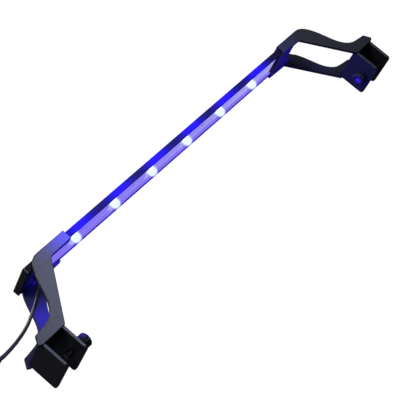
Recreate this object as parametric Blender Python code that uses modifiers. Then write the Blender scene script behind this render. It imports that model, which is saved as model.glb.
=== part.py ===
"""LED aquarium light: a slim lit bar carried by two brackets that clamp onto the tank's end walls.

X runs along the bar, Y across it and Z up. The origin is on the ground under the middle of the two
brackets, whose jaw tips stand on Z = 0. The light shines down. All sizes are in metres.
"""
import math

import bmesh
import bpy
from mathutils import Vector

# ---------------------------------------------------------------- driving dimensions
GAP = 0.0003                 # clearance between neighbouring pieces

LED_COUNT = 6
LED_PITCH = 0.050
LED_HEIGHT = 0.0745          # height of the light-emitting faces above the jaw tips

BAR_X = -0.0114              # middle of the bar, which sits a little to the left in its brackets
BAR_LENGTH = 0.3790
BAR_WIDTH = 0.034
BAR_TOP = LED_HEIGHT + 0.0034
BAR_BOTTOM = LED_HEIGHT - 0.0024
BAR_WALL = 0.0014
BAR_CEILING = LED_HEIGHT + 0.0021     # underside of the channel's top wall

BOARD_TOP = BAR_CEILING - GAP
BOARD_THICKNESS = 0.0009
BOARD_WIDTH = 0.0300
LED_SIZE = 0.0050
LED_TOP = BOARD_TOP - BOARD_THICKNESS - GAP
LED_BODY = 0.00055           # height of the package without its lens
LED_LENS_RADIUS = 0.0018
COVER_TOP = LED_HEIGHT - 0.00045
COVER_BOTTOM = LED_HEIGHT - 0.00115
COVER_WIDTH = 0.0317
GROOVE_DEPTH = 0.0005        # how far the cover's grooves go into each wall

CAP_LENGTH = 0.020           # part of an end cap inside the channel
CAP_FLANGE = 0.0020
CAP_SLOT = (0.0139, 0.0156)  # the rebate in which a bracket's guide ridge runs
CAP_SLOT_TOP = LED_HEIGHT - 0.00115
CAP_HOLLOW_START = 0.0060    # from the flange to the hollow in a cap's inner end
CAP_HOLLOW_HALF = 0.0075
CAP_SCREW_INSET = 0.0130     # from the flange to a cap's screws
CAP_SCREW_Y = 0.0095
CAP_HOLE_RADIUS = 0.0013
CAP_SINK_RADIUS = 0.0027
CAP_SCREW_HEAD = 0.0018
CAP_SCREW_SHANK = 0.0009
CAP_SCREW_DEPTH = 0.0002     # from the cap's face up to the screw's head

SLEEVE_X = 0.15235           # inner end of each sleeve from the middle of the object
SLEEVE_LENGTH = 0.034
SLEEVE_TOP = LED_HEIGHT + 0.0050
SLEEVE_BOTTOM = LED_HEIGHT - 0.0039
BRACKET_WIDTH = 0.0390
SIDE_THICKNESS = 0.0030
BACK_LEG_EXTRA = {"left": 0.0020, "right": 0.0}   # how much wider a bracket's back leg is, toward the tank
LIP_INNER = 0.0142           # half the width of the slot under the sleeve
RIDGE_THICKNESS = 0.0011
RIDGE_LENGTH = 0.0214
RIDGE_TOP = LED_HEIGHT - 0.00145

JAW_WIDTH = 0.0360
JAW_THICKNESS = 0.0030
INNER_JAW = 0.0613           # tank-side face of the inner jaw, outward from the sleeve's inner end
OUTER_JAW = 0.0862           # outer face of the outer jaw, measured the same way
BASE_TOP = LED_HEIGHT - 0.0466
BASE_BOTTOM = LED_HEIGHT - 0.0500

SCREW_Z = LED_HEIGHT - 0.0655
SCREW_RADIUS = 0.0025
KNOB_RADIUS = 0.0060
KNOB_LENGTH = 0.0080
KNOB_DISH_RADIUS = 0.0036    # the hollow in the knob's tank-side end
KNOB_DISH_DEPTH = 0.0006
SCREW_START = 0.0030         # where the screw starts inside the knob
KNOB_FACE = {"left": 0.0465, "right": 0.0525}   # knob's tank-side end, outward from the sleeve's inner end
SCREW_REACH = 0.0258         # from the knob's tank-side end to the screw's other end
PAD_RADIUS = 0.0046
PAD_THICKNESS = 0.0024
PAD_SOCKET = 0.0010          # how far the screw's end goes into the pad

CORD_RADIUS = 0.0014
GLAND_X = -0.1865
GLAND_LENGTH = 0.0050
GLAND_HEAD_RADIUS = 0.0034
GLAND_HEAD = 0.0012
GLAND_NECK_RADIUS = 0.0022
GLAND_HOLE_RADIUS = 0.0025
GLAND_AIM = Vector((-0.57, -0.06, -0.82)).normalized()
COIL_MIDDLE = (-0.3920, -0.1560)
COIL_RADIUS = 0.0155         # radius to the middle of the turns
COIL_WIDE = 3                # turns side by side
COIL_HIGH = 4                # turns on top of each other
COIL_LIFT = 0.0011           # the tie passes under the coil
TIE_WIDTH = 0.0050
TIE_THICKNESS = 0.0008
PLUG_RADIUS = 0.0050
PLUG_NECK_RADIUS = 0.0030
PLUG_LENGTH = 0.0280
BARREL_RADIUS = 0.00275
BARREL_BORE_RADIUS = 0.00125
BARREL_LENGTH = 0.0095
WIRE_RADIUS = 0.00035
WIRE_SPREAD = 0.0022         # from the middle to each conductor


# ---------------------------------------------------------------- the file, collections and materials
def empty_the_scene():
    for thing in list(bpy.data.objects):
        bpy.data.objects.remove(thing, do_unlink=True)


def new_collection(name):
    collection = bpy.data.collections.new(name)
    bpy.context.scene.collection.children.link(collection)
    return collection


empty_the_scene()
PARTS = new_collection("led_aquarium_light")
CUTTERS = new_collection("cutters")


def new_material(name, colour, roughness, metallic=0.0, transmission=0.0, glow=0.0):
    material = bpy.data.materials.new(name)
    material.use_nodes = True
    shader = material.node_tree.nodes["Principled BSDF"]
    shader.inputs["Base Color"].default_value = (*colour, 1.0)
    shader.inputs["Roughness"].default_value = roughness
    shader.inputs["Metallic"].default_value = metallic
    shader.inputs["Transmission Weight"].default_value = transmission
    shader.inputs["Emission Color"].default_value = (*colour, 1.0)
    shader.inputs["Emission Strength"].default_value = glow
    material.diffuse_color = (*colour, 1.0)
    return material


BLACK_ALUMINIUM = new_material("black_aluminium", (0.02, 0.02, 0.025), 0.35, metallic=0.8)
BLACK_PLASTIC = new_material("black_plastic", (0.03, 0.03, 0.035), 0.45)
CAP_PLASTIC = new_material("cap_plastic", (0.015, 0.015, 0.018), 0.5)
BOARD_WHITE = new_material("board_white", (0.72, 0.72, 0.80), 0.45)
LED_BLUE = new_material("led_blue", (0.12, 0.10, 1.0), 0.3, glow=2.0)
CLEAR_ACRYLIC = new_material("clear_acrylic", (0.80, 0.80, 1.0), 0.08, transmission=0.9)
RESISTOR_BLACK = new_material("resistor_black", (0.02, 0.02, 0.02), 0.4)
RUBBER = new_material("rubber", (0.02, 0.02, 0.02), 0.8)
STEEL = new_material("steel", (0.55, 0.55, 0.57), 0.3, metallic=1.0)
WIRE_RED = new_material("wire_red", (0.60, 0.03, 0.03), 0.5)
WIRE_BLACK = new_material("wire_black", (0.02, 0.02, 0.02), 0.5)
CORD_BLACK = new_material("cord_black", (0.02, 0.02, 0.022), 0.4)


# ---------------------------------------------------------------- modelling helpers
def add_object(name, mesh, material, collection):
    thing = bpy.data.objects.new(name, mesh)
    collection.objects.link(thing)
    if material is not None:
        mesh.materials.append(material)
    if collection is CUTTERS:
        thing.hide_render = True
        thing.display_type = "WIRE"
    return thing


def centre_origin(thing, point):
    """Moves an object's origin to a point, and leaves its mesh where it is."""
    offset = Vector(point) - thing.location
    for vertex in thing.data.vertices:
        vertex.co -= offset
    thing.location = point


def add_box(name, low, high, material=None, collection=PARTS, bevel=0.0, segments=2):
    size = Vector(high) - Vector(low)
    middle = (Vector(high) + Vector(low)) / 2
    shape = bmesh.new()
    bmesh.ops.create_cube(shape, size=1.0)
    bmesh.ops.scale(shape, vec=size, verts=shape.verts)
    if bevel:
        bmesh.ops.bevel(
            shape, geom=shape.edges[:], offset=bevel, segments=segments, profile=0.5, affect="EDGES"
        )
    mesh = bpy.data.meshes.new(name)
    shape.to_mesh(mesh)
    shape.free()
    thing = add_object(name, mesh, material, collection)
    thing.location = middle
    return thing


def add_round(name, start, axis, radius, length, material=None, collection=PARTS, end_radius=None,
              segments=24, bevel=0.0):
    """A cylinder or cone that starts at a point and runs along an axis. Its origin is at the start."""
    shape = bmesh.new()
    bmesh.ops.create_cone(
        shape, cap_ends=True, segments=segments, radius1=radius,
        radius2=radius if end_radius is None else end_radius, depth=length
    )
    bmesh.ops.translate(shape, vec=(0, 0, length / 2), verts=shape.verts)
    if bevel:
        rims = [edge for edge in shape.edges if any(len(face.verts) > 4 for face in edge.link_faces)]
        bmesh.ops.bevel(shape, geom=rims, offset=bevel, segments=2, profile=0.5, affect="EDGES")
    turn = Vector((0, 0, 1)).rotation_difference(Vector(axis)).to_matrix().to_4x4()
    bmesh.ops.transform(shape, matrix=turn, verts=shape.verts)
    mesh = bpy.data.meshes.new(name)
    shape.to_mesh(mesh)
    shape.free()
    mesh.shade_smooth()
    mesh.set_sharp_from_angle(angle=math.radians(35))
    thing = add_object(name, mesh, material, collection)
    thing.location = start
    return thing


def curve_to_mesh(thing, name, material, collection):
    """Turns a curve object into a closed mesh object, with its caps welded to its sides."""
    evaluated = thing.evaluated_get(bpy.context.evaluated_depsgraph_get())
    mesh = bpy.data.meshes.new_from_object(evaluated)
    shape = bmesh.new()
    shape.from_mesh(mesh)
    bmesh.ops.transform(shape, matrix=thing.matrix_world, verts=shape.verts)
    bmesh.ops.remove_doubles(shape, verts=shape.verts, dist=0.000002)
    bmesh.ops.recalc_face_normals(shape, faces=shape.faces)
    shape.to_mesh(mesh)
    shape.free()
    mesh.materials.clear()
    mesh.name = name
    bpy.data.objects.remove(thing, do_unlink=True)
    return add_object(name, mesh, material, collection)


def add_plate(name, outline, rotation, offset, thickness, material=None, collection=PARTS, rim=0.0):
    """A flat outline, given as (x, y) points, made a plate of a thickness with rounded rims."""
    curve = bpy.data.curves.new(name, "CURVE")
    curve.dimensions = "2D"
    curve.fill_mode = "BOTH"
    curve.extrude = thickness / 2 - rim
    curve.bevel_depth = rim
    curve.bevel_resolution = 1
    curve.offset = -rim
    spline = curve.splines.new("POLY")
    spline.points.add(len(outline) - 1)
    for point, (x, y) in zip(spline.points, outline):
        point.co = (x, y, 0, 1)
    spline.use_cyclic_u = True
    thing = bpy.data.objects.new(name, curve)
    bpy.context.scene.collection.objects.link(thing)
    thing.rotation_euler = rotation
    thing.location = offset
    bpy.context.view_layer.update()
    return curve_to_mesh(thing, name, material, collection)


def boolean(target, tool, operation):
    modifier = target.modifiers.new(operation.lower(), "BOOLEAN")
    modifier.operation = operation
    modifier.solver = "EXACT"
    modifier.object = tool


def cut(target, *cutters):
    for cutter in cutters:
        boolean(target, cutter, "DIFFERENCE")


def join(target, *others):
    for other in others:
        boolean(target, other, "UNION")


def cutter_box(name, low, high):
    return add_box(name, low, high, collection=CUTTERS)


def cutter_round(name, start, axis, radius, length, **shape):
    return add_round(name, start, axis, radius, length, collection=CUTTERS, **shape)


def bezier(start, handle, other_handle, end, steps):
    """The points of a cubic curve, without its first one."""
    points = []
    for step in range(1, steps + 1):
        t = step / steps
        weights = ((1 - t) ** 3, 3 * t * (1 - t) ** 2, 3 * t * t * (1 - t), t ** 3)
        points.append(tuple(
            sum(weight * point[axis] for weight, point in zip(weights, (start, handle, other_handle, end)))
            for axis in (0, 1)
        ))
    return points


def rounded(corners, steps=4):
    """An outline from (x, y, radius) corners, each one rounded to its radius."""
    points = []
    for index, (x, y, radius) in enumerate(corners):
        corner = Vector((x, y))
        if radius == 0:
            points.append((x, y))
            continue
        before = (Vector(corners[index - 1][:2]) - corner).normalized()
        after = (Vector(corners[(index + 1) % len(corners)][:2]) - corner).normalized()
        half_angle = before.angle(after) / 2
        first = corner + before * (radius / math.tan(half_angle))
        last = corner + after * (radius / math.tan(half_angle))
        centre = corner + (before + after).normalized() * (radius / math.sin(half_angle))
        for step in range(steps + 1):
            spoke = (first - centre).lerp(last - centre, step / steps).normalized() * radius
            points.append(tuple(centre + spoke))
    return points


# ---------------------------------------------------------------- the bar
BAR_LEFT = BAR_X - BAR_LENGTH / 2
BAR_RIGHT = BAR_X + BAR_LENGTH / 2
HALF_BAR = BAR_WIDTH / 2
BOARD_LEFT = BAR_LEFT + CAP_FLANGE + CAP_LENGTH + GAP
BOARD_RIGHT = BAR_RIGHT - CAP_FLANGE - CAP_LENGTH - GAP


def make_housing():
    """An extruded channel, open below and at its ends, with a groove in each wall for the cover."""
    left = BAR_LEFT + CAP_FLANGE + GAP
    right = BAR_RIGHT - CAP_FLANGE - GAP
    housing = add_box(
        "bar_housing", (left, -HALF_BAR, BAR_BOTTOM), (right, HALF_BAR, BAR_TOP), BLACK_ALUMINIUM,
        bevel=0.0004, segments=1
    )
    inside = HALF_BAR - BAR_WALL
    channel = cutter_box(
        "channel_cutter", (left - 0.01, -inside, BAR_BOTTOM - 0.01), (right + 0.01, inside, BAR_CEILING)
    )
    groove = inside + GROOVE_DEPTH
    grooves = cutter_box(
        "groove_cutter", (left - 0.01, -groove, COVER_BOTTOM - 0.0002), (right + 0.01, groove, COVER_TOP + 0.0002)
    )
    cut(housing, channel, grooves)
    for index, point in enumerate(cap_screw_places()):
        start = (*point, BAR_CEILING - 0.001)
        thread = cutter_round(f"thread_cutter_{index}", start, (0, 0, 1), CAP_HOLE_RADIUS, 0.0018, segments=16)
        cut(housing, thread)


def cap_screw_places():
    """The four cap screws, two in each cap, in plan."""
    from_end = CAP_FLANGE + CAP_SCREW_INSET
    ends = (BAR_LEFT + from_end, BAR_RIGHT - from_end)
    return [(x, y) for x in ends for y in (-CAP_SCREW_Y, CAP_SCREW_Y)]


def make_board():
    board_bottom = BOARD_TOP - BOARD_THICKNESS
    add_box(
        "led_board", (BOARD_LEFT, -BOARD_WIDTH / 2, board_bottom), (BOARD_RIGHT, BOARD_WIDTH / 2, BOARD_TOP),
        BOARD_WHITE
    )


def make_led(number):
    """A square package with a low round lens, facing down."""
    x = BAR_X + (number - (LED_COUNT + 1) / 2) * LED_PITCH
    half = LED_SIZE / 2
    package = add_box(
        f"led_{number}", (x - half, -half, LED_TOP - LED_BODY), (x + half, half, LED_TOP), LED_BLUE
    )
    lens = cutter_round(
        f"led_lens_{number}", (x, 0, LED_TOP - LED_BODY / 2), (0, 0, -1), LED_LENS_RADIUS, LED_BODY / 2 + 0.0002,
        end_radius=LED_LENS_RADIUS * 0.7, segments=20
    )
    join(package, lens)


def make_resistor(name, x):
    add_box(
        name, (x - 0.0016, -0.0008, LED_TOP - 0.0006), (x + 0.0016, 0.0008, LED_TOP), RESISTOR_BLACK,
        bevel=0.0001, segments=1
    )


def make_cover():
    add_box(
        "splash_cover", (BOARD_LEFT, -COVER_WIDTH / 2, COVER_BOTTOM), (BOARD_RIGHT, COVER_WIDTH / 2, COVER_TOP),
        CLEAR_ACRYLIC
    )


def make_end_cap(name, side):
    """A plug with a flange. Two rebates let the brackets' ridges pass. Its inner end is hollow."""
    end = BAR_LEFT if side < 0 else BAR_RIGHT
    inward = -side
    inside = HALF_BAR - BAR_WALL - GAP

    def span(start, stop):
        return sorted((end + inward * start, end + inward * stop))

    near, far = span(0, CAP_FLANGE)
    cap = add_box(name, (near, -HALF_BAR, BAR_BOTTOM), (far, HALF_BAR, BAR_TOP), CAP_PLASTIC, bevel=0.0004,
                  segments=1)
    near, far = span(0.0008, CAP_FLANGE + CAP_LENGTH)
    plug = cutter_box(f"{name}_plug", (near, -inside, BAR_BOTTOM + 0.0001), (far, inside, BAR_CEILING - GAP))
    join(cap, plug)
    near, far = span(-0.01, CAP_FLANGE + CAP_LENGTH + 0.01)
    for edge in (-1, 1):
        low, high = sorted(edge * wall for wall in CAP_SLOT)
        key = "back" if edge > 0 else "front"
        cut(cap, cutter_box(f"{name}_slot_{key}", (near, low, BAR_BOTTOM - 0.01), (far, high, CAP_SLOT_TOP)))
    near, far = span(CAP_FLANGE + CAP_HOLLOW_START, CAP_FLANGE + CAP_LENGTH + 0.01)
    hollow = cutter_box(
        f"{name}_hollow", (near, -CAP_HOLLOW_HALF, COVER_BOTTOM), (far, CAP_HOLLOW_HALF, BAR_CEILING - 0.0008)
    )
    cut(cap, hollow)
    for x, y in cap_screw_places():
        if (x < BAR_X) == (side < 0):
            key = "back" if y > 0 else "front"
            hole = cutter_round(f"{name}_screw_hole_{key}", (x, y, BAR_BOTTOM - 0.005), (0, 0, 1), CAP_HOLE_RADIUS,
                                0.02, segments=16)
            sink = cutter_round(
                f"{name}_sink_{key}", (x, y, BAR_BOTTOM - 0.0005), (0, 0, 1), CAP_SINK_RADIUS, 0.0017,
                end_radius=0.0010, segments=24
            )
            cut(cap, hole, sink)
    return cap


def make_cap_screw(name, x, y):
    """A countersunk screw that comes up through the cap into the channel's top wall."""
    start = BAR_BOTTOM + CAP_SCREW_DEPTH
    head = add_round(name, (x, y, start), (0, 0, 1), CAP_SCREW_HEAD, 0.0010, STEEL, end_radius=CAP_SCREW_SHANK,
                     segments=20)
    shank_start = start + 0.0004
    shank = cutter_round(f"{name}_shank", (x, y, shank_start), (0, 0, 1), CAP_SCREW_SHANK,
                         BAR_CEILING + 0.0005 - shank_start, segments=16)
    join(head, shank)
    for angle in (0, 90):
        slot = cutter_box(f"{name}_recess_{angle}", (-0.0010, -0.0002, -0.001), (0.0010, 0.0002, 0.0003))
        slot.rotation_euler.z = math.radians(angle)
        slot.location = (x, y, start - 0.00035)
        cut(head, slot)


# ---------------------------------------------------------------- the brackets
def side_outline(side, extra=0.0):
    """The side of a bracket, seen along Y: a sleeve side, an S-shaped leg and a foot.

    The extra width of the leg is on its tank side.
    """
    top = SLEEVE_TOP - LED_HEIGHT
    bottom = SLEEVE_BOTTOM - LED_HEIGHT
    shoulder, waist, foot = (0.0310, top), (0.0535, -0.0230), (0.0730, -0.0399)
    outer = [(0.0, top), shoulder]
    outer += bezier(shoulder, (0.0420, top), (0.0475, -0.0075), waist, 8)
    outer += bezier(waist, (0.0565, -0.0300), (0.0620, -0.0393), foot, 7)
    foot_block = rounded([
        (0.0842, -0.0405, 0.0018), (0.0897, -0.0486, 0.0008), (0.0864, -0.0502, 0.0), (0.0613, -0.0502, 0.0),
    ], steps=2)
    inner = rounded([
        (0.0600 - extra, -0.0490, 0.0), (0.0247 - extra, bottom - 0.0006, 0.0020), (0.0, bottom, 0.0),
    ], steps=3)
    return [(side * (SLEEVE_X + x), LED_HEIGHT + y) for x, y in outer + foot_block + inner]


def outward(side, low, high):
    """Two X positions in rising order, from distances outward of a sleeve's inner end."""
    return sorted((side * (SLEEVE_X + low), side * (SLEEVE_X + high)))


def jaw_outline():
    half = JAW_WIDTH / 2
    return rounded([
        (-half, BASE_TOP, 0.0), (-half, 0.0, 0.0030), (half, 0.0, 0.0030), (half, BASE_TOP, 0.0),
    ])


def make_bracket(side_name, side):
    """One moulding: a sleeve for the bar, two legs and a clamp that opens downward."""
    name = f"{side_name}_bracket"
    half = BRACKET_WIDTH / 2
    upright = (math.radians(90), 0, 0)
    front = -half + SIDE_THICKNESS / 2
    frame = add_plate(name, side_outline(side), upright, (0, front, 0), SIDE_THICKNESS, BLACK_PLASTIC, rim=0.0006)
    back_outline = side_outline(side, BACK_LEG_EXTRA[side_name])
    back = add_plate(f"{name}_back_side", back_outline, upright, (0, -front, 0), SIDE_THICKNESS,
                     collection=CUTTERS, rim=0.0006)
    inset = 0.0008
    near, far = outward(side, 0.0002, SLEEVE_LENGTH)
    tube = cutter_box(f"{name}_tube", (near, -half + inset, SLEEVE_BOTTOM + 0.0001),
                      (far, half - inset, SLEEVE_TOP - 0.0001))
    near, far = outward(side, INNER_JAW + 0.0001, OUTER_JAW - 0.0001)
    base = cutter_box(f"{name}_base", (near, -half + inset, BASE_BOTTOM), (far, half - inset, BASE_TOP))
    join(frame, back, tube, base)

    sideways = (math.radians(90), 0, math.radians(90))
    for key, outer_face in (("inner_jaw", INNER_JAW + JAW_THICKNESS), ("outer_jaw", OUTER_JAW)):
        middle = side * (SLEEVE_X + outer_face - JAW_THICKNESS / 2)
        jaw = add_plate(f"{name}_{key}", jaw_outline(), sideways, (middle, 0, 0), JAW_THICKNESS,
                        collection=CUTTERS, rim=0.0005)
        join(frame, jaw)

    bore = HALF_BAR + GAP
    near, far = outward(side, -0.01, 0.055)
    cavity = cutter_box(f"{name}_cavity", (near, -bore, BAR_BOTTOM - GAP), (far, bore, BAR_TOP + GAP))
    slot = cutter_box(f"{name}_slot", (near, -LIP_INNER, SLEEVE_BOTTOM - 0.01),
                      (far, LIP_INNER, BAR_BOTTOM))
    cut(frame, cavity, slot)
    near, far = outward(side, 0.0006, 0.0006 + RIDGE_LENGTH)
    for edge in (-1, 1):
        low, high = sorted((edge * (LIP_INNER + 0.00005), edge * (LIP_INNER + RIDGE_THICKNESS)))
        key = "back" if edge > 0 else "front"
        join(frame, cutter_box(f"{name}_ridge_{key}", (near, low, SLEEVE_BOTTOM + 0.0003), (far, high, RIDGE_TOP)))

    start = (side * (SLEEVE_X + INNER_JAW - 0.005), 0, SCREW_Z)
    cut(frame, cutter_round(f"{name}_screw_hole", start, (side, 0, 0), SCREW_RADIUS + GAP, 0.015, segments=24))
    centre_origin(frame, (side * SLEEVE_X, 0, LED_HEIGHT))


def make_thumbscrew(side_name, side):
    """A thumbscrew moulded in one piece, and the pad that it presses on the glass."""
    axis = (side, 0, 0)

    def on_axis(distance):
        return (side * (SLEEVE_X + KNOB_FACE[side_name] + distance), 0, SCREW_Z)

    knob = add_round(f"{side_name}_thumbscrew", on_axis(0), axis, KNOB_RADIUS, KNOB_LENGTH, BLACK_PLASTIC,
                     segments=32, bevel=0.0006)
    dish = cutter_round(f"{side_name}_knob_dish", on_axis(-0.001), axis, KNOB_DISH_RADIUS,
                        KNOB_DISH_DEPTH + 0.001, segments=24)
    shank = cutter_round(f"{side_name}_screw", on_axis(SCREW_START), axis, SCREW_RADIUS,
                         SCREW_REACH - SCREW_START, segments=24, bevel=0.0004)
    cut(knob, dish)
    join(knob, shank)

    pad_start = SCREW_REACH - PAD_SOCKET
    pad = add_round(f"{side_name}_pad", on_axis(pad_start), axis, PAD_RADIUS, PAD_THICKNESS, RUBBER, segments=28,
                    bevel=0.0004)
    socket = cutter_round(f"{side_name}_pad_socket", on_axis(pad_start - 0.002), axis, SCREW_RADIUS + GAP,
                          0.002 + PAD_SOCKET + GAP, segments=24)
    cut(pad, socket)


# ---------------------------------------------------------------- the supply cord
def smooth_route(points, spacing):
    """Evenly spaced points on a smooth curve that passes through all the given ones."""
    fine = []
    padded = [points[0] * 2 - points[1], *points, points[-1] * 2 - points[-2]]
    for before, start, end, after in zip(padded, padded[1:], padded[2:], padded[3:]):
        for step in range(20):
            t = step / 20
            fine.append(0.5 * (
                start * 2 + (end - before) * t + (before * 2 - start * 5 + end * 4 - after) * t ** 2
                + (start * 3 - before - end * 3 + after) * t ** 3
            ))
    fine.append(points[-1])
    lengths = [0.0]
    for first, second in zip(fine, fine[1:]):
        lengths.append(lengths[-1] + (second - first).length)
    count = max(2, round(lengths[-1] / spacing))
    route = []
    index = 0
    for number in range(count + 1):
        wanted = lengths[-1] * number / count
        while index < len(lengths) - 2 and lengths[index + 1] < wanted:
            index += 1
        share = (wanted - lengths[index]) / (lengths[index + 1] - lengths[index])
        route.append(fine[index].lerp(fine[index + 1], share))
    return route


def add_tube(name, points, radius, material):
    curve = bpy.data.curves.new(name, "CURVE")
    curve.dimensions = "3D"
    curve.bevel_depth = radius
    curve.bevel_resolution = 2
    curve.use_fill_caps = True
    spline = curve.splines.new("POLY")
    spline.points.add(len(points) - 1)
    for point, place in zip(spline.points, points):
        point.co = (*place, 1)
    curve.materials.append(material)
    thing = bpy.data.objects.new(name, curve)
    PARTS.objects.link(thing)
    return thing


# Hand-chosen points of the cord's way, from the gland out past the leg and down to the ground.
ROUTE = [Vector(point) for point in (
    (-0.1896, -0.0003, 0.0669), (-0.1908, -0.0006, 0.0650), (-0.1936, -0.0015, 0.0627), (-0.1983, -0.0030, 0.0597),
    (-0.2039, -0.0045, 0.0565), (-0.2112, -0.0060, 0.0527), (-0.2203, -0.0080, 0.0487), (-0.2274, -0.0095, 0.0456),
    (-0.2341, -0.0112, 0.0434), (-0.2400, -0.0135, 0.0417), (-0.2455, -0.0172, 0.0402), (-0.2512, -0.0223, 0.0386),
    (-0.2582, -0.0305, 0.0364), (-0.2690, -0.0450, 0.0331), (-0.2840, -0.0655, 0.0284), (-0.3025, -0.0920, 0.0226),
    (-0.3215, -0.1210, 0.0164), (-0.3360, -0.1430, 0.0120), (-0.3460, -0.1555, 0.0088), (-0.3560, -0.1650, 0.0062),
    (-0.3670, -0.1722, 0.0041), (-0.3790, -0.1765, 0.0028), (-0.3920, -0.1775, 0.0025),
)]


def make_gland():
    """The rubber strain relief through which the cord leaves the left end cap, aimed outward."""
    seat = BAR_BOTTOM - GAP
    gland = add_round("cord_gland", (GLAND_X, 0, seat), (0, 0, -1), GLAND_HEAD_RADIUS, GLAND_HEAD, RUBBER)
    neck = cutter_round("gland_neck", (GLAND_X, 0, seat - 0.0006), (0, 0, 1), GLAND_NECK_RADIUS, 0.0026)
    nozzle = cutter_round("gland_nozzle", (GLAND_X, 0, seat - 0.0005), GLAND_AIM, 0.0027, GLAND_LENGTH,
                          end_radius=0.0019)
    trim = cutter_box("gland_trim", (GLAND_X - 0.01, -0.01, seat), (GLAND_X + 0.01, 0.01, seat + 0.01))
    join(gland, nozzle)
    cut(gland, trim)
    join(gland, neck)


def make_wires():
    """The two conductors, from above the gland to the end of the board."""
    level = LED_TOP - 0.0004
    for name, side, material in (("wire_positive", 1, WIRE_RED), ("wire_negative", -1, WIRE_BLACK)):
        y = side * WIRE_SPREAD
        points = smooth_route([
            Vector((GLAND_X + 0.0005, y * 0.35, level)), Vector((GLAND_X + 0.0040, y * 0.8, level)),
            Vector((GLAND_X + 0.0090, y, level)), Vector((BOARD_LEFT + 0.0030, y, level)),
        ], 0.0015)
        add_tube(name, points, WIRE_RADIUS, material)


def make_ring(name, middle, radius, half_width, low, high, material):
    """A turned ring with a chamfered square section."""
    chamfer = 0.0009
    inner, outer = radius - half_width, radius + half_width
    section = [
        (outer, low + chamfer), (outer, high - chamfer), (outer - chamfer, high), (inner + chamfer, high),
        (inner, high - chamfer), (inner, low + chamfer), (inner + chamfer, low), (outer - chamfer, low),
    ]
    mesh = bpy.data.meshes.new(name)
    edges = [(index, (index + 1) % len(section)) for index in range(len(section))]
    mesh.from_pydata([(x, 0, z) for x, z in reversed(section)], edges, [])
    ring = add_object(name, mesh, material, PARTS)
    ring.location = (*middle, 0)
    screw = ring.modifiers.new("turn", "SCREW")
    screw.steps = 40
    screw.render_steps = 40
    screw.use_merge_vertices = True
    screw.merge_threshold = 0.00001
    return ring


def make_cord():
    add_tube("supply_cord", smooth_route(ROUTE, 0.0050), CORD_RADIUS, CORD_BLACK)
    half_width = COIL_WIDE * CORD_RADIUS
    coil_top = COIL_LIFT + COIL_HIGH * 2 * CORD_RADIUS
    make_ring("cord_coil", COIL_MIDDLE, COIL_RADIUS, half_width, COIL_LIFT, coil_top, CORD_BLACK)

    x, y = COIL_MIDDLE
    near, far = y + COIL_RADIUS - half_width - GAP, y + COIL_RADIUS + half_width + GAP
    low, high = COIL_LIFT - GAP, coil_top + GAP
    tie = add_box(
        "cord_tie", (x - TIE_WIDTH / 2, near - TIE_THICKNESS, low - TIE_THICKNESS),
        (x + TIE_WIDTH / 2, far + TIE_THICKNESS, high + TIE_THICKNESS), RUBBER
    )
    cut(tie, cutter_box("tie_window", (x - TIE_WIDTH, near, low), (x + TIE_WIDTH, far, high)))

    turn = COIL_RADIUS + half_width + GAP + CORD_RADIUS
    tail = [
        Vector((x - turn, y, 0.0050)), Vector((x - turn, y + 0.0060, 0.0050)),
        Vector((x - turn - 0.0004, y + 0.0120, 0.0050)), Vector((x - turn - 0.0010, y + 0.0180, 0.0050)),
    ]
    add_tube("cord_tail", smooth_route(tail, 0.0030), CORD_RADIUS, CORD_BLACK)
    make_plug(tail[-1], (tail[-1] - tail[-2]).normalized())


def make_plug(start, direction):
    """A straight barrel plug: a tapered moulded grip and a metal barrel."""
    grip_start = start + direction * GAP
    add_round("dc_plug_grip", grip_start, direction, PLUG_NECK_RADIUS, PLUG_LENGTH, CORD_BLACK,
              end_radius=PLUG_RADIUS, segments=28)
    barrel_start = grip_start + direction * (PLUG_LENGTH + GAP)
    barrel = add_round("dc_plug_barrel", barrel_start, direction, BARREL_RADIUS, BARREL_LENGTH, STEEL)
    bore_start = barrel_start + direction * 0.001
    cut(barrel, cutter_round("plug_bore", bore_start, direction, BARREL_BORE_RADIUS, 0.02, segments=16))


# ---------------------------------------------------------------- the whole light
def make_light():
    make_housing()
    make_board()
    for number in range(1, LED_COUNT + 1):
        make_led(number)
    make_resistor("resistor_left", BAR_X - LED_PITCH)
    make_resistor("resistor_right", BAR_X + LED_PITCH)
    make_cover()
    left_cap = make_end_cap("left_end_cap", -1)
    make_end_cap("right_end_cap", 1)
    gland_start = (GLAND_X, 0, BAR_BOTTOM - 0.005)
    cut(left_cap, cutter_round("gland_hole", gland_start, (0, 0, 1), GLAND_HOLE_RADIUS, 0.0075))
    names = ("left_cap_screw_front", "left_cap_screw_back", "right_cap_screw_front", "right_cap_screw_back")
    for name, (x, y) in zip(names, cap_screw_places()):
        make_cap_screw(name, x, y)
    make_gland()
    make_wires()
    for side_name, side in (("left", -1), ("right", 1)):
        make_bracket(side_name, side)
        make_thumbscrew(side_name, side)
    make_cord()


make_light()
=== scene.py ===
"""LED aquarium light: camera, cord, detailed pieces, materials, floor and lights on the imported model."""
import math

import bmesh
import bpy
from mathutils import Matrix, Vector


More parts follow.
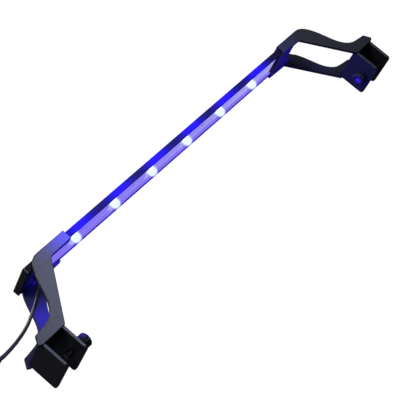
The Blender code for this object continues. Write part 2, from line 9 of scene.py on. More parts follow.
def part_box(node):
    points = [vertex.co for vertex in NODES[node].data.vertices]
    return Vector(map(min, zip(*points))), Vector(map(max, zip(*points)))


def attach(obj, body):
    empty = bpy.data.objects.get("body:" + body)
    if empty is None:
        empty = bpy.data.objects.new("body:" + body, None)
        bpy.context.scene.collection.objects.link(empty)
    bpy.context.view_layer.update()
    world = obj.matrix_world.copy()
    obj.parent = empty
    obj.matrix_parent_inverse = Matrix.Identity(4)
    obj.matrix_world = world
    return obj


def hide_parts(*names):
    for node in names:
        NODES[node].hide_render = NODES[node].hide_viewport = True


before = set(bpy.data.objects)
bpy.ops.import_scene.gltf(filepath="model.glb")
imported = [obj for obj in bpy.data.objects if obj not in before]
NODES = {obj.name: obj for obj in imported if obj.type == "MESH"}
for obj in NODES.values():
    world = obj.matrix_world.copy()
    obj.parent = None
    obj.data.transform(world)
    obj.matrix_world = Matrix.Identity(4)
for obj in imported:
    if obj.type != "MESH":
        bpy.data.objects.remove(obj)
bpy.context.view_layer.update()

# ---------------------------------------------------------------- dimensions shared with the model
LED_COUNT = 6
LED_PITCH = 0.050
LED_HEIGHT = 0.0745
BAR_X = -0.0114                  # middle of the bar, which sits to the left in its brackets
SLEEVE_X = 0.15235               # inner end of each sleeve from the middle of the object
SCREW_Z = LED_HEIGHT - 0.0655
CORD_RADIUS = 0.0014
COIL_MIDDLE = Vector((-0.3920, -0.1560, 0.0))
COIL_RADIUS = 0.0155
COIL_LIFT = 0.0011
COIL_EXIT = 0.0214               # distance of the cord's last stretch from the coil's middle
TAIL_HEIGHT = 0.0050             # the plug's middle line above the ground
POINTS_PER_TURN = 28
TURN = 2 * CORD_RADIUS
BOARD_ENDS = (-0.1786, 0.1558)   # the board's two ends along the bar
COVER_LINE = 0.07335             # height of the cover in the channel
BAR_BOTTOM = LED_HEIGHT - 0.0024
GLOW_ENDS = (0.170, 0.180)       # the painted blue LED glow on the channel fades out here, toward its ends
SLEEVE_BOTTOM = LED_HEIGHT - 0.0039
INNER_JAW = 0.0613               # tank-side face of the inner jaw, outward from the sleeve's inner end
LEG_GLOW_X = 0.200               # middle of the painted pool of LED light on the inner side of a leg
LEG_GLOW_Z = 0.045
GLARE_DROP = 0.0016              # the middle of each LED's glare is this far below its face
WALL_GLOW_WIDTH = 0.0135         # reach of the painted blue LED glow on the channel's walls, along the bar from each LED
KNOB_FACE = {"left": 0.0465, "right": 0.0525}    # knob's tank-side end, outward from the sleeve's inner end
KNOB_RADIUS = 0.0060
KNOB_LENGTH = 0.0080
SCREW_RADIUS = 0.0025
SCREW_REACH = 0.0258             # end of the screw, from the knob's tank-side end
KNOB_FLUTES = 12
RING_POINTS = 72                 # round a fluted or threaded ring
THREAD_PITCH = 0.0020
THREAD_DEPTH = 0.0005
PLUG_LENGTH = 0.0280
PLUG_GAP = 0.0003                # between the cord and the grip, and between the grip and the barrel
BARREL_LENGTH = 0.0095
BARREL_RADIUS = 0.00275
BARREL_BORE = 0.0021
LED_PLACES = [BAR_X + (number - (LED_COUNT - 1) / 2) * LED_PITCH for number in range(LED_COUNT)]


# ---------------------------------------------------------------- small helpers
def add_object(name, data):
    thing = bpy.data.objects.new(name, data)
    bpy.context.scene.collection.objects.link(thing)
    return thing


def mesh_from(name, shape):
    """A new mesh from a bmesh, which is freed."""
    mesh = bpy.data.meshes.new(name)
    shape.to_mesh(mesh)
    shape.free()
    return mesh


# ---------------------------------------------------------------- camera
CAMERA_PLACE = (-0.71955, -0.8627, -0.1377)
CAMERA_RIGHT = (0.5754, -0.3176, -0.7537)
CAMERA_AHEAD = (0.6193, 0.7712, 0.1477)
CAMERA_LENS = 121.15


def add_camera():
    """The photograph's view: from just below the light, with the camera rolled."""
    data = bpy.data.cameras.new("camera")
    data.lens = CAMERA_LENS
    data.sensor_width = 36
    data.clip_start = 0.05
    data.clip_end = 100
    camera = add_object("camera", data)
    right = Vector(CAMERA_RIGHT).normalized()
    back = -Vector(CAMERA_AHEAD).normalized()
    up = back.cross(right).normalized()
    right = up.cross(back)
    turn = Matrix((right, up, back)).transposed().to_4x4()
    camera.matrix_world = Matrix.Translation(CAMERA_PLACE) @ turn
    bpy.context.scene.camera = camera


add_camera()


# ---------------------------------------------------------------- the supply cord
# The same points as in the model, from the gland past the leg and down to the ground.
ROUTE = [Vector(point) for point in (
    (-0.1896, -0.0003, 0.0669), (-0.1908, -0.0006, 0.0650), (-0.1936, -0.0015, 0.0627),
    (-0.1983, -0.0030, 0.0597), (-0.2039, -0.0045, 0.0565), (-0.2112, -0.0060, 0.0527),
    (-0.2203, -0.0080, 0.0487), (-0.2274, -0.0095, 0.0456), (-0.2341, -0.0112, 0.0434),
    (-0.2400, -0.0135, 0.0417), (-0.2455, -0.0172, 0.0402), (-0.2512, -0.0223, 0.0386),
    (-0.2582, -0.0305, 0.0364), (-0.2690, -0.0450, 0.0331), (-0.2840, -0.0655, 0.0284),
    (-0.3025, -0.0920, 0.0226), (-0.3215, -0.1210, 0.0164), (-0.3360, -0.1430, 0.0120),
    (-0.3460, -0.1555, 0.0088), (-0.3560, -0.1650, 0.0062), (-0.3670, -0.1722, 0.0041),
    (-0.3790, -0.1765, 0.0028), (-0.3920, -0.1775, 0.0025),
)]


def smooth_route(points, spacing):
    """Evenly spaced points on a smooth curve that passes through all the given ones."""
    fine = []
    padded = [points[0] * 2 - points[1], *points, points[-1] * 2 - points[-2]]
    for before, start, end, after in zip(padded, padded[1:], padded[2:], padded[3:]):
        for step in range(20):
            t = step / 20
            fine.append(0.5 * (
                start * 2 + (end - before) * t + (before * 2 - start * 5 + end * 4 - after) * t ** 2
                + (start * 3 - before - end * 3 + after) * t ** 3
            ))
    fine.append(points[-1])
    lengths = [0.0]
    for first, second in zip(fine, fine[1:]):
        lengths.append(lengths[-1] + (second - first).length)
    count = max(2, round(lengths[-1] / spacing))
    route = []
    index = 0
    for number in range(count + 1):
        wanted = lengths[-1] * number / count
        while index < len(lengths) - 2 and lengths[index + 1] < wanted:
            index += 1
        share = (wanted - lengths[index]) / (lengths[index + 1] - lengths[index])
        route.append(fine[index].lerp(fine[index + 1], share))
    return route


def ease(value, start, end):
    """A smooth step from 0 at the start to 1 at the end."""
    share = min(1.0, max(0.0, (value - start) / (end - start)))
    return share * share * (3 - 2 * share)


def coil_points():
    """Four layers of three turns. Each layer change and each step sideways has a sector of its own."""
    sector = 50 / 360
    outer = COIL_RADIUS + TURN
    arrival = 0.0215
    steps_in = [(0, arrival - outer), (1, TURN), (2, TURN), (7 - 4 * sector, TURN), (8 - 4 * sector, TURN)]
    steps_out = [(turns - (2 if turns < 6 else 6) * sector, TURN) for turns in (4, 5, 10, 11)]
    rises = [3 - sector, 6 - 3 * sector, 9 - 5 * sector]
    leave, drop, last = 10.90, 11.10, 11.25
    points = []
    count = round(last * POINTS_PER_TURN)
    for number in range(1, count + 1):
        turns = last * number / count
        radius = arrival
        for start, size in steps_in:
            radius -= size * ease(turns, start, start + sector)
        for start, size in steps_out:
            radius += size * ease(turns, start, start + sector)
        radius += (COIL_EXIT - outer) * ease(turns, leave, drop)
        height = COIL_LIFT + CORD_RADIUS
        for start in rises:
            height += TURN * ease(turns, start, start + sector)
        height += (TAIL_HEIGHT - COIL_LIFT - CORD_RADIUS - 3 * TURN) * ease(turns, drop, last)
        angle = math.radians(270) - turns * 2 * math.pi
        points.append(COIL_MIDDLE + Vector((radius * math.cos(angle), radius * math.sin(angle), height)))
    return points


# ---------------------------------------------------------------- turned pieces
def ring_of(start, axis, distance, count, radius_at):
    """A ring of points round an axis, at a distance along it. The radius may change round the ring."""
    across = axis.orthogonal().normalized()
    if abs(axis.x) > 0.9:
        across = Vector((0, 1, 0))
    up = axis.cross(across)
    ring = []
    for step in range(count):
        angle = 2 * math.pi * step / count
        spoke = across * math.cos(angle) + up * math.sin(angle)
        ring.append(axis * distance + spoke * radius_at(angle) + start)
    return ring


def loft(name, rings, origin, hollow=False):
    """A closed skin through rings of points: with two flat ends, or hollow, back to its first ring."""
    shape = bmesh.new()
    loops = [[shape.verts.new(point - origin) for point in ring] for ring in rings]
    pairs = list(zip(loops, loops[1:]))
    if hollow:
        pairs.append((loops[-1], loops[0]))
    else:
        shape.faces.new(loops[0])
        shape.faces.new(loops[-1])
    for first, second in pairs:
        for index in range(len(first)):
            after = (index + 1) % len(first)
            shape.faces.new((first[index], first[after], second[after], second[index]))
    bmesh.ops.recalc_face_normals(shape, faces=shape.faces)
    mesh = mesh_from(name, shape)
    mesh.shade_smooth()
    mesh.set_sharp_from_angle(angle=math.radians(40))
    thing = add_object(name, mesh)
    thing.location = origin
    return thing


def turned(name, start, axis, profile, hollow=False):
    """A lathe piece, from (distance, radius) pairs."""
    rings = []
    for distance, radius in profile:
        rings.append(ring_of(start, axis, distance, 40, lambda angle, size=radius: size))
    return loft(name, rings, start, hollow)


def add_plug(start, direction):
    """A barrel plug: a moulded grip with a ribbed strain relief, a metal barrel and its insulator."""
    profile = [(0.0, 0.0016), (0.0002, 0.0022)]
    for rib in range(5):
        place = 0.0010 + 0.0021 * rib
        size = 0.0024 + 0.00018 * rib
        profile += [(place, size), (place + 0.0002, size + 0.0004), (place + 0.0010, size + 0.0004),
                    (place + 0.0012, size)]
    profile += [(0.0116, 0.0033), (0.0128, 0.0043), (0.0142, 0.0048)]
    for groove in range(4):
        place = 0.0155 + 0.0024 * groove
        profile += [(place, 0.0049), (place + 0.0003, 0.0046), (place + 0.0009, 0.0046),
                    (place + 0.0012, 0.0049)]
    profile += [(0.0262, 0.0049), (0.0274, 0.0047), (PLUG_LENGTH, 0.0042)]
    grip = turned("plug_grip", start, direction, profile)
    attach(grip, "light_bar")
    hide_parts("dc_plug_grip")

    start = start + direction * (PLUG_LENGTH + PLUG_GAP)
    length = BARREL_LENGTH
    barrel = turned("plug_barrel", start, direction, [
        (0.0, BARREL_BORE), (0.0, BARREL_RADIUS - 0.0001), (0.0004, BARREL_RADIUS),
        (length - 0.0004, BARREL_RADIUS), (length, 0.0025), (length, 0.0023), (length - 0.0003, BARREL_BORE),
    ], hollow=True)
    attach(barrel, "light_bar")
    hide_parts("dc_plug_barrel")
    insulator = turned("plug_insulator", start, direction, [
        (0.0002, 0.0001), (0.0002, 0.00205), (length - 0.0006, 0.00205), (length - 0.0004, 0.0019),
        (length - 0.0004, 0.00135), (length - 0.0007, 0.00125), (0.0012, 0.00125), (0.0012, 0.0001),
    ])
    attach(insulator, "light_bar")
    return grip, barrel, insulator


def tube(name, points, radius):
    """A round closed mesh along points."""
    curve = bpy.data.curves.new(name, "CURVE")
    curve.dimensions = "3D"
    curve.bevel_depth = radius
    curve.bevel_resolution = 4
    curve.use_fill_caps = True
    spline = curve.splines.new("POLY")
    spline.points.add(len(points) - 1)
    for point, place in zip(spline.points, points):
        point.co = (*place, 1)
    guide = add_object(name, curve)
    mesh = bpy.data.meshes.new_from_object(guide.evaluated_get(bpy.context.evaluated_depsgraph_get()))
    bpy.data.objects.remove(guide, do_unlink=True)
    bpy.data.curves.remove(curve)
    shape = bmesh.new()
    shape.from_mesh(mesh)
    bmesh.ops.remove_doubles(shape, verts=shape.verts, dist=0.000002)
    bmesh.ops.recalc_face_normals(shape, faces=shape.faces)
    shape.to_mesh(mesh)
    shape.free()
    mesh.shade_smooth()
    mesh.set_sharp_from_angle(angle=math.radians(50))
    return add_object(name, mesh)


def add_cord():
    """The whole cord in one tube: the route to the ground, the coil and a short straight tail to the plug."""
    start = COIL_MIDDLE + Vector((-COIL_EXIT, 0, TAIL_HEIGHT))
    tail = [start + Vector(step) for step in ((0.0, 0.0060, 0), (-0.0004, 0.0120, 0), (-0.0010, 0.0180, 0))]
    points = smooth_route(ROUTE, 0.0040) + coil_points() + tail
    cord = tube("cord", points, CORD_RADIUS)
    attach(cord, "light_bar")
    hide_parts("supply_cord", "cord_coil", "cord_tail")
    direction = (tail[2] - tail[1]).normalized()
    plug = add_plug(tail[2] + direction * PLUG_GAP, direction)
    return cord, plug


CORD, PLUG = add_cord()


def add_thumbscrew(side_name, side):
    """A fluted knob and its threaded screw, in one moulding."""
    axis = Vector((side, 0, 0))
    start = Vector((side * (SLEEVE_X + KNOB_FACE[side_name]), 0, SCREW_Z))
    # Distance from the tank-side end, radius, and how much of the flutes' depth there is.
    knob = [
        (0.0007, 0.0004, 0.0), (0.0006, 0.0030, 0.0), (0.0001, 0.0036, 0.0), (0.0, 0.0046, 0.2),
        (0.0002, 0.0054, 0.7), (0.0008, KNOB_RADIUS, 1.0), (KNOB_LENGTH - 0.0010, KNOB_RADIUS, 1.0),
        (KNOB_LENGTH - 0.0002, 0.0053, 0.7), (KNOB_LENGTH, 0.0044, 0.0), (KNOB_LENGTH, 0.0030, 0.0),
    ]
    rings = []
    for distance, radius, share in knob:
        def flute(angle, size=radius, depth=0.0005 * share):
            return size - depth * (0.5 - 0.5 * math.cos(KNOB_FLUTES * angle)) ** 2
        rings.append(ring_of(start, axis, distance, RING_POINTS, flute))
    steps = 76
    first, last = KNOB_LENGTH + 0.0002, SCREW_REACH
    for step in range(steps + 1):
        distance = first + (last - first) * step / steps
        tip = 0.0006 * ease(distance, last - 0.0012, last)

        def thread(angle, place=distance, cut=tip):
            phase = place / THREAD_PITCH - side * angle / (2 * math.pi)
            return SCREW_RADIUS - cut - THREAD_DEPTH * (0.5 + 0.5 * math.cos(2 * math.pi * phase))
        rings.append(ring_of(start, axis, distance, RING_POINTS, thread))
    piece = loft(f"{side_name}_thumbscrew_fluted", rings, start)
    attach(piece, f"{side_name}_thumbscrew")
    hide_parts(f"{side_name}_thumbscrew")
    return piece


THUMBSCREWS = {"left": add_thumbscrew("left", -1), "right": add_thumbscrew("right", 1)}


# ---------------------------------------------------------------- material helpers
class Shader:
    """A new node material: short calls that add nodes and link them."""

    def __init__(self, name):
        self.material = bpy.data.materials.new(name)
        self.material.use_nodes = True
        self.tree = self.material.node_tree
        self.surface = self.tree.nodes["Principled BSDF"]
        self.place = self.node("ShaderNodeTexCoord").outputs["Object"]

    def node(self, kind, **settings):
        node = self.tree.nodes.new(kind)
        for key, value in settings.items():
            setattr(node, key, value)
        return node

    def feed(self, socket, value):
        if isinstance(value, bpy.types.NodeSocket):
            self.tree.links.new(value, socket)
        else:
            socket.default_value = value

    def math(self, operation, first, second=0.0):
        node = self.node("ShaderNodeMath", operation=operation)
        self.feed(node.inputs[0], first)
        self.feed(node.inputs[1], second)
        return node.outputs[0]

    def split(self, vector):
        node = self.node("ShaderNodeSeparateXYZ")
        self.feed(node.inputs[0], vector)
        return node.outputs

    def noise(self, scale, detail=2.0, stretch=None):
        vector = self.place
        if stretch:
            mapping = self.node("ShaderNodeMapping")
            self.feed(mapping.inputs["Vector"], vector)
            mapping.inputs["Scale"].default_value = stretch
            vector = mapping.outputs[0]
        node = self.node("ShaderNodeTexNoise")
        self.feed(node.inputs["Vector"], vector)
        node.inputs["Scale"].default_value = scale
        node.inputs["Detail"].default_value = detail
        return node.outputs["Fac"]

    def range(self, value, low, high, to_low, to_high):
        node = self.node("ShaderNodeMapRange")
        for socket, number in zip(node.inputs, (value, low, high, to_low, to_high)):
            self.feed(socket, number)
        return node.outputs[0]

    def mix(self, share, first, second):
        node = self.node("ShaderNodeMix", data_type="RGBA")
        self.feed(node.inputs["Factor"], share)
        self.feed(node.inputs["A"], first if isinstance(first, bpy.types.NodeSocket) else (*first, 1))
        self.feed(node.inputs["B"], second if isinstance(second, bpy.types.NodeSocket) else (*second, 1))
        return node.outputs["Result"]

    def bump(self, height, distance, strength=1.0):
        node = self.node("ShaderNodeBump")
        self.feed(node.inputs["Height"], height)
        node.inputs["Distance"].default_value = distance
        node.inputs["Strength"].default_value = strength
        self.feed(self.surface.inputs["Normal"], node.outputs[0])

    def bell(self, value, centre, width):
        """A smooth bump of height 1 round a centre."""
        offset = self.math("DIVIDE", self.math("SUBTRACT", value, centre), width)
        return self.math("EXPONENT", self.math("MULTIPLY", self.math("MULTIPLY", offset, offset), -1.0))

    def product(self, *factors):
        result = factors[0]
        for factor in factors[1:]:
            result = self.math("MULTIPLY", result, factor)
        return result

    def from_led(self, x):
        """How far along the bar a point is from the nearest LED, in metres."""
        place = self.math("DIVIDE", self.math("SUBTRACT", x, LED_PLACES[0]), LED_PITCH)
        nearest = self.math("ROUND", place)
        nearest = self.math("MINIMUM", self.math("MAXIMUM", nearest, 0.0), LED_COUNT - 1.0)
        return self.math("MULTIPLY", self.math("SUBTRACT", place, nearest), LED_PITCH)

    def normal(self):
        return self.split(self.node("ShaderNodeNewGeometry").outputs["Normal"])

    def facing_leds(self, side):
        """How squarely a surface on that side's bracket faces the LEDs, from 0 to 1."""
        normal_x, _, normal_z = self.normal()
        sideways = self.math("MULTIPLY", normal_x, -0.85 * side)
        return self.math("MAXIMUM", self.math("ADD", sideways, self.math("MULTIPLY", normal_z, 0.53)), 0.0)

    def distance(self, first, second):
        """The length of two offsets at right angles."""
        squares = self.math("ADD", self.product(first, first), self.product(second, second))
        return self.math("SQRT", squares)

    def set(self, colour, roughness, metallic=0.0, specular=0.5):
        self.feed(self.surface.inputs["Base Color"], colour if isinstance(colour, bpy.types.NodeSocket)
                  else (*colour, 1))
        self.feed(self.surface.inputs["Roughness"], roughness)
        self.surface.inputs["Metallic"].default_value = metallic
        self.surface.inputs["Specular IOR Level"].default_value = specular

    def glow(self, colour, strength):
        self.feed(self.surface.inputs["Emission Color"], colour if isinstance(colour, bpy.types.NodeSocket)
                  else (*colour, 1))
        self.feed(self.surface.inputs["Emission Strength"], strength)

    def see_through(self, share, tint=(1, 1, 1)):
        """Show the surface by a share from 0 to 1, and what lies behind it by the rest."""
        clear = self.node("ShaderNodeBsdfTransparent")
        clear.inputs[0].default_value = (*tint, 1)
        mixed = self.node("ShaderNodeMixShader")
        self.feed(mixed.inputs[0], share)
        self.feed(mixed.inputs[1], clear.outputs[0])
        self.feed(mixed.inputs[2], self.surface.outputs[0])
        self.feed(self.tree.nodes["Material Output"].inputs["Surface"], mixed.outputs[0])


PAINTED_LED_BLUE = (0.040, 0.020, 1.0)   # the LEDs' blue light, painted as glow on black plastic
GLARE = (0.88, 1.0, 1.0)         # the white of the LEDs' glare, painted on the board, the cover and the glare domes
LED_REFLECTION_OFFSET = (-0.0004, 0.0095)     # where a small painted reflection of each LED lies on the board, from the middle of that LED


def plastic(name, colour=(0.009, 0.009, 0.011), roughness=0.40):
    """Black moulded plastic with a fine spark-eroded grain."""
    shader = Shader(name)
    lighter = tuple(channel * 1.6 for channel in colour)
    shader.set(shader.mix(shader.noise(60, 3), colour, lighter),
               shader.range(shader.noise(1400, 2), 0.3, 0.7, roughness - 0.02, roughness + 0.02))
    shader.bump(shader.noise(3500, 2), 0.00002, 0.35)
    return shader


def bracket_material(name, side, sleeve, under_sleeve, legs, jaw):
    """Black plastic with painted blue LED light: on the sleeve's lit end, the legs' inner sides and the jaw.

    Each of the last four values says how strongly one of those places glows.
    """
    shader = plastic(name)
    x, y, z = shader.split(shader.place)
    _, normal_y, normal_z = shader.normal()
    inner_side = shader.math("LESS_THAN", shader.math("MULTIPLY", y, normal_y), -0.008)
    below = shader.math("LESS_THAN", normal_z, -0.3)
    hidden = shader.math("MAXIMUM", inner_side, below)
    along = shader.math("ABSOLUTE", x)

    # painted blue LED light on the sleeve's end, on its outer side and underneath
    high = shader.range(z, SLEEVE_BOTTOM - 0.0006, SLEEVE_BOTTOM, 0.0, 1.0)
    not_on_top = shader.range(normal_z, 0.2, 0.7, 1.0, 0.0)
    outer_side = shader.product(shader.math("SUBTRACT", 1.0, hidden), not_on_top)
    outside = shader.product(outer_side, shader.bell(x, side * SLEEVE_X, 0.018), sleeve)
    inside = shader.product(hidden, shader.range(along, 0.178, 0.190, 1.0, 0.0), under_sleeve)
    on_sleeve = shader.product(high, shader.math("ADD", outside, inside))

    # a painted pool of LED light on the inner sides of the legs
    spot = shader.product(shader.bell(x, side * LEG_GLOW_X, 0.014), shader.bell(z, LEG_GLOW_Z, 0.012))
    on_legs = shader.product(shader.math("ADD", spot, 0.06), inner_side, legs)

    # painted LED light on the inner jaw's faces toward the tank
    jaw_face = SLEEVE_X + INNER_JAW
    tank_side = shader.range(along, jaw_face + 0.0002, jaw_face + 0.0004, 1.0, 0.0)
    on_jaw = shader.product(shader.facing_leds(side), tank_side, jaw)

    strength = shader.math("MAXIMUM", shader.math("MAXIMUM", on_sleeve, on_legs), on_jaw)
    rough = shader.range(shader.noise(1400, 2), 0.3, 0.7, 0.35, 0.39)
    matt_inside = shader.math("MAXIMUM", rough, shader.product(inner_side, 0.95))
    shader.feed(shader.surface.inputs["Roughness"], matt_inside)
    shader.glow(PAINTED_LED_BLUE, strength)
    return shader.material


def cap_material():
    """Black plastic, with painted blue LED light on its underside, most of it beside the board."""
    shader = plastic("cap_moulding", (0.006, 0.006, 0.008), 0.5)
    x, _, _ = shader.split(shader.place)
    _, _, normal_z = shader.normal()
    near_board = shader.range(shader.math("ABSOLUTE", x), 0.188, 0.196, 0.14, 0.01)
    shader.glow(PAINTED_LED_BLUE, shader.product(shader.math("LESS_THAN", normal_z, -0.3), near_board))
    return shader.material


def knob_material(name, side, strength, spot):
    """Black plastic. The knob, not the screw, has painted blue LED light, and the hollow in its end has the
    most, as a painted spot of light.
    """
    shader = plastic(name, roughness=0.38)
    shader.surface.inputs["Specular IOR Level"].default_value = 0.15
    x, y, z = shader.split(shader.place)
    on_knob = shader.math("LESS_THAN", shader.math("ABSOLUTE", x), KNOB_LENGTH + 0.0001)
    radius = shader.distance(y, z)
    at_end = shader.math("LESS_THAN", shader.math("ABSOLUTE", x), 0.0010)
    # a painted spot of LED light in the hollow of the knob's end
    middle = shader.product(shader.bell(radius, 0.0, 0.0022), at_end, spot)
    facing = shader.facing_leds(side)
    shader.glow(PAINTED_LED_BLUE, shader.product(facing, on_knob, shader.math("ADD", middle, strength)))
    return shader.material


def housing_material():
    """Thin dark channel with painted light: a painted blue LED glow on its walls beside each LED, and painted
    LED light in the board's colours on its inner walls.
    """
    shader = Shader("housing")
    x, y, z = shader.split(shader.place)
    _, normal_y, normal_z = shader.normal()
    side = shader.math("ABSOLUTE", normal_y)
    lowest = shader.math("LESS_THAN", z, BAR_BOTTOM + 0.0002)
    rim = shader.product(shader.math("LESS_THAN", normal_z, -0.5), lowest)
    # the painted blue LED light on the channel fades out toward its ends
    showing = shader.range(shader.math("ABSOLUTE", x), *GLOW_ENDS, 1.0, 0.0)
    # a faint painted blue glow on the walls, fading out past the last LED
    base = shader.range(x, LED_PLACES[-1] + 0.008, LED_PLACES[-1] + 0.022, 0.12, 0.02)
    # painted blue LED glow on the walls beside each LED, on the sides and the bottom rim
    beside = shader.bell(shader.from_led(x), 0.0, WALL_GLOW_WIDTH)
    outside = shader.product(shader.math("ADD", beside, base), shader.math("MAXIMUM", side, rim), showing)
    # painted LED light on the inner walls between the board's ends
    inward = shader.product(
        shader.math("LESS_THAN", shader.math("MULTIPLY", y, normal_y), -0.005),
        shader.math("GREATER_THAN", x, BOARD_ENDS[0]), shader.math("LESS_THAN", x, BOARD_ENDS[1]),
    )
    # dim painted navy below the cover line, painted lavender LED light above it
    lit = shader.range(z, COVER_LINE - 0.0003, COVER_LINE + 0.0002, 0.0, 1.0)
    inside = shader.mix(lit, (0.012, 0.0, 0.50), (0.29, 0.22, 0.96))
    colour = shader.mix(inward, (0.014, 0.0, 1.0), inside)
    strength = shader.math("MAXIMUM", outside, inward)
    shader.set((0.004, 0.004, 0.008), shader.range(shader.noise(90, 2, (1, 30, 30)), 0.3, 0.7, 0.45, 0.60),
               specular=0.12)
    shader.bump(shader.noise(1200, 2, (0.05, 1, 1)), 0.00002, 0.5)
    shader.glow(colour, strength)
    return shader.material


def led_halo(shader, x, y, reach):
    """Painted white glare round each LED on a flat piece, with a soft rim, and a small painted reflection of
    the LED beside it.
    """
    offset = shader.from_led(x)
    core = shader.range(shader.distance(offset, y), reach * 0.75, reach * 1.4, 1.0, 0.0)
    reflection_x, reflection_y = LED_REFLECTION_OFFSET
    from_reflection = shader.distance(shader.math("SUBTRACT", offset, reflection_x), shader.math("SUBTRACT", y, reflection_y))
    # the painted reflection of each LED, paler toward the right end of the bar
    fade = shader.range(x, LED_PLACES[0], LED_PLACES[-2], 0.85, 0.25)
    pad = shader.product(shader.bell(from_reflection, 0.0, 0.0022), fade)
    return shader.math("MAXIMUM", core, pad)


def board_material():
    """White solder mask, shown by painted light: painted white glare round each LED, and painted lavender LED
    light in between.
    """
    shader = Shader("board")
    x, y, _ = shader.split(shader.place)
    # painted lavender LED light, bluer at the left end of the bar and paler at the right
    along = shader.range(x, LED_PLACES[0], LED_PLACES[-1], 0.0, 1.0)
    painted_lavender = shader.mix(along, (0.270, 0.190, 1.0), (0.50, 0.46, 0.94))
    # random patches of bluer painted light
    patches = shader.noise(70, 2, (1, 0.4, 1))
    painted_lavender = shader.mix(shader.range(patches, 0.35, 0.65, 0.0, 0.30), painted_lavender, (0.20, 0.20, 0.98))
    # a dark base: the board's white and lavender are painted light
    shader.set((0.05, 0.05, 0.06), 0.5)
    shader.glow(shader.mix(led_halo(shader, x, y, 0.0045), painted_lavender, GLARE), 1.0)
    return shader.material


def led_material():
    shader = Shader("led")
    speck = shader.noise(900, 2)
    shader.set((0.5, 0.55, 0.6), 0.2)
    shader.glow(shader.mix(speck, (0.75, 0.98, 1.0), (0.95, 1.0, 1.0)), 2.2)
    return shader.material


def cover_material():
    """Clear acrylic: see-through, with a faint gloss, and painted white glare where an LED shines through."""
    shader = Shader("cover")
    x, y, _ = shader.split(shader.place)
    shader.set((0.02, 0.02, 0.03), shader.range(shader.noise(300, 2), 0.3, 0.7, 0.12, 0.22))
    # painted glare round each LED, which also makes the cover show there
    halo = led_halo(shader, x, y, 0.0042)
    shader.glow(GLARE, halo)
    fresnel = shader.node("ShaderNodeFresnel")
    fresnel.inputs["IOR"].default_value = 1.2
    gloss = shader.product(fresnel.outputs[0], 0.12)
    shader.see_through(shader.math("MAXIMUM", gloss, halo), (0.97, 0.97, 1.0))
    return shader.material


def glow_material(name, share, colour):
    """The glare of an LED: a share of its own light over what lies behind it."""
    shader = Shader(name)
    shader.set((0.0, 0.0, 0.0), 1.0, specular=0.0)
    speck = shader.noise(500, 2)
    shader.glow(shader.mix(speck, colour, tuple(0.5 + channel / 2 for channel in colour)), 1.15)
    shader.see_through(share)
    return shader.material


def rubber_material():
    shader = Shader("rubber_matt")
    shader.set(shader.mix(shader.noise(200, 3), (0.012, 0.012, 0.013), (0.030, 0.030, 0.031)), 0.75,
               specular=0.3)
    shader.bump(shader.noise(2500, 3), 0.00006, 0.6)
    return shader.material


def cord_material():
    """Soft PVC: a satin black with a fine grain."""
    shader = Shader("cord_pvc")
    shader.set(shader.mix(shader.noise(120, 3), (0.012, 0.012, 0.014), (0.028, 0.028, 0.030)),
               shader.range(shader.noise(400, 2), 0.3, 0.7, 0.30, 0.42), specular=0.6)
    shader.bump(shader.noise(1500, 2), 0.00003, 0.4)
    return shader.material


def metal_material(name, colour, roughness=0.28):
    shader = Shader(name)
    shader.set(shader.mix(shader.noise(500, 3), colour, tuple(channel * 0.8 for channel in colour)),
               shader.range(shader.noise(900, 2), 0.3, 0.7, roughness - 0.06, roughness + 0.10), metallic=1.0)
    shader.bump(shader.noise(3000, 2), 0.00001, 0.4)
    return shader.material


def wire_material(name, colour):
    shader = Shader(name)
    shader.set(shader.mix(shader.noise(700, 2), colour, tuple(channel * 0.7 for channel in colour)), 0.4)
    shader.bump(shader.noise(2500, 2), 0.00001, 0.3)
    return shader.material


def resistor_material():
    shader = Shader("resistor_body")
    shader.set(shader.mix(shader.noise(1500, 2), (0.015, 0.015, 0.018), (0.04, 0.04, 0.045)), 0.4)
    # painted lavender LED light: the resistor bodies glow
    shader.glow((0.30, 0.24, 0.95), 0.8)
    shader.bump(shader.noise(5000, 2), 0.00001, 0.4)
    return shader.material


def add_glows():
    """The round glare below each LED: cut spheres one inside the other, clearer outward."""
    low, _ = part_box("splash_cover")
    shells = [
        (0.0034, 1.0, GLARE),
        (0.0040, 0.55, (0.70, 0.90, 1.0)),
        (0.0047, 0.30, (0.40, 0.45, 1.0)),
    ]
    materials = []
    for step, (_, share, colour) in enumerate(shells):
        materials.append(glow_material(f"led_glare_{step}", share, colour))
    middle = LED_HEIGHT - GLARE_DROP
    top = low[2] - middle - 0.00005
    for number, x in enumerate(LED_PLACES, 1):
        shape = bmesh.new()
        for index, (radius, _, _) in enumerate(shells):
            dome = bmesh.new()
            bmesh.ops.create_uvsphere(dome, u_segments=32, v_segments=20, radius=radius)
            bmesh.ops.bisect_plane(
                dome, geom=dome.verts[:] + dome.edges[:] + dome.faces[:], plane_co=(0, 0, top),
                plane_no=(0, 0, 1), clear_outer=True
            )
            bmesh.ops.contextual_create(dome, geom=[edge for edge in dome.edges if edge.is_boundary])
            for face in dome.faces:
                face.material_index = index
            piece = mesh_from("dome", dome)
            shape.from_mesh(piece)
            bpy.data.meshes.remove(piece)
        mesh = mesh_from(f"led_glow_{number}", shape)
        mesh.shade_smooth()
        for material in materials:
            mesh.materials.append(material)
        glow = add_object(f"led_glow_{number}", mesh)
        glow.location = (x, 0, middle)
        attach(glow, "light_bar")


def dress(material, *names):
    """Give carried-over CAD nodes a better material."""
    for name in names:
        for slot in NODES[name].material_slots:
            slot.material = material


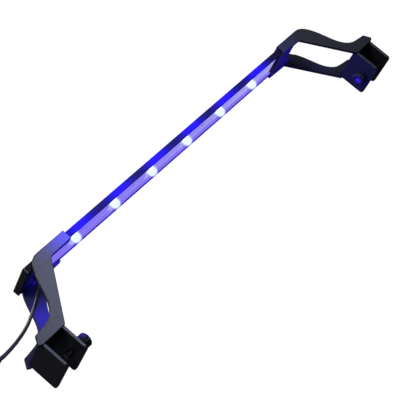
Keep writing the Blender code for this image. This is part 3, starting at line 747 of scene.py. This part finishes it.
def dress_everything():
    dress(housing_material(), "bar_housing")
    dress(board_material(), "led_board")
    dress(led_material(), *(f"led_{number}" for number in range(1, LED_COUNT + 1)))
    dress(resistor_material(), "resistor_left", "resistor_right")
    dress(cover_material(), "splash_cover")
    dress(cap_material(), "left_end_cap", "right_end_cap")
    screws = [name for name in NODES if "cap_screw" in name]
    dress(metal_material("screw_steel", (0.55, 0.55, 0.57)), *screws)
    dress(rubber_material(), "cord_gland", "left_pad", "right_pad", "cord_tie")
    dress(wire_material("wire_red_pvc", (0.55, 0.02, 0.02)), "wire_positive")
    dress(wire_material("wire_black_pvc", (0.02, 0.02, 0.02)), "wire_negative")
    # Strengths of the painted blue LED light on the brackets and the knobs
    left = bracket_material("left_bracket_plastic", -1, sleeve=0.85, under_sleeve=0.36, legs=0.38, jaw=0.05)
    right = bracket_material("right_bracket_plastic", 1, sleeve=0.04, under_sleeve=0.15, legs=0.02, jaw=0.045)
    dress(left, "left_bracket")
    dress(right, "right_bracket")
    THUMBSCREWS["left"].data.materials.append(knob_material("left_knob_plastic", -1, strength=0.60, spot=0.3))
    THUMBSCREWS["right"].data.materials.append(knob_material("right_knob_plastic", 1, strength=0.08, spot=1.0))
    pvc = cord_material()
    CORD.data.materials.append(pvc)
    grip, barrel, insulator = PLUG
    grip.data.materials.append(pvc)
    insulator.data.materials.append(pvc)
    barrel.data.materials.append(metal_material("plug_nickel", (0.70, 0.69, 0.66), 0.2))


dress_everything()
add_glows()


# ---------------------------------------------------------------- floor, backdrop and light
FLOOR_GLOW = 3.1                 # keeps the floor evenly pale far from the lights


def two_sided(name, colour):
    """Pale and matt from above, clear from below."""
    shader = Shader(name)
    grain = shader.range(shader.noise(6, 2), 0.3, 0.7, 0.0, 0.25)
    darker = tuple(channel * 0.97 for channel in colour)
    shader.set(shader.mix(grain, colour, darker), 0.9, specular=0.1)
    shader.glow(colour, FLOOR_GLOW)
    from_below = shader.node("ShaderNodeNewGeometry").outputs["Backfacing"]
    shader.see_through(shader.math("SUBTRACT", 1.0, from_below))
    return shader.material


def add_floor():
    """A wide pale floor that casts no light on the object."""
    shape = bmesh.new()
    bmesh.ops.create_grid(shape, x_segments=2, y_segments=2, size=3.0)
    floor = add_object("floor", mesh_from("floor", shape))
    floor.location.z = -0.0002
    floor.data.materials.append(two_sided("floor_pale", (0.22, 0.22, 0.222)))
    floor.visible_diffuse = False
    floor.visible_glossy = False
    return floor


def add_backdrop():
    """A white dome that only the camera sees, so it throws no light of its own."""
    shape = bmesh.new()
    bmesh.ops.create_uvsphere(shape, u_segments=32, v_segments=16, radius=8.0)
    dome = add_object("backdrop", mesh_from("backdrop", shape))
    shader = Shader("backdrop_white")
    shader.set((0, 0, 0), 1.0, specular=0.0)
    shader.glow((1, 1, 1), 1.02)
    dome.data.materials.append(shader.material)
    for kind in ("diffuse", "glossy", "transmission", "volume_scatter", "shadow"):
        setattr(dome, f"visible_{kind}", False)


def add_area_light(name, place, target, size, power, colour=(1, 1, 1)):
    data = bpy.data.lights.new(name, "AREA")
    data.shape = "RECTANGLE"
    data.size, data.size_y = size
    data.energy = power
    data.color = colour
    light = add_object(name, data)
    light.location = place
    light.rotation_euler = (Vector(target) - Vector(place)).to_track_quat("-Z", "Y").to_euler()
    light.visible_camera = False
    return light


def spare(light, thing):
    """Keep a light off one thing: a low light would leave a bright pool with a straight edge on the floor."""
    spared = bpy.data.collections.new(f"{light.name}_spares")
    spared.objects.link(thing)
    spared.collection_objects[0].light_linking.link_state = "EXCLUDE"
    light.light_linking.receiver_collection = spared


def add_lights(floor):
    bpy.context.scene.view_settings.view_transform = "Standard"
    world = bpy.data.worlds.new("studio")
    world.use_nodes = True
    world.node_tree.nodes["Background"].inputs["Color"].default_value = (0.70, 0.75, 1.0, 1)
    world.node_tree.nodes["Background"].inputs["Strength"].default_value = 0.06
    bpy.context.scene.world = world
    add_area_light("overhead", place=(0.0, 0.1, 1.1), target=(0, 0, 0), size=(1.2, 0.9), power=13)
    add_area_light("left_key", place=(-0.62, -0.62, 0.55), target=(-0.20, 0, 0.04), size=(0.35, 0.35), power=5)
    softbox = add_area_light(
        "leg_softbox", place=(0.42, -0.80, 0.20), target=(-0.20, -0.02, 0.05), size=(0.34, 0.34), power=3.9,
        colour=(0.62, 0.66, 1.0),
    )
    spare(softbox, floor)
    for number, x in enumerate(LED_PLACES, 1):
        lamp = add_area_light(
            f"led_light_{number}", place=(x, 0, LED_HEIGHT - 0.0013), target=(x, 0, 0), size=(0.004, 0.004),
            power=0.06, colour=(0.06, 0.02, 1.0),
        )
        lamp.data.shape = "DISK"


FLOOR = add_floor()
add_backdrop()
add_lights(FLOOR)
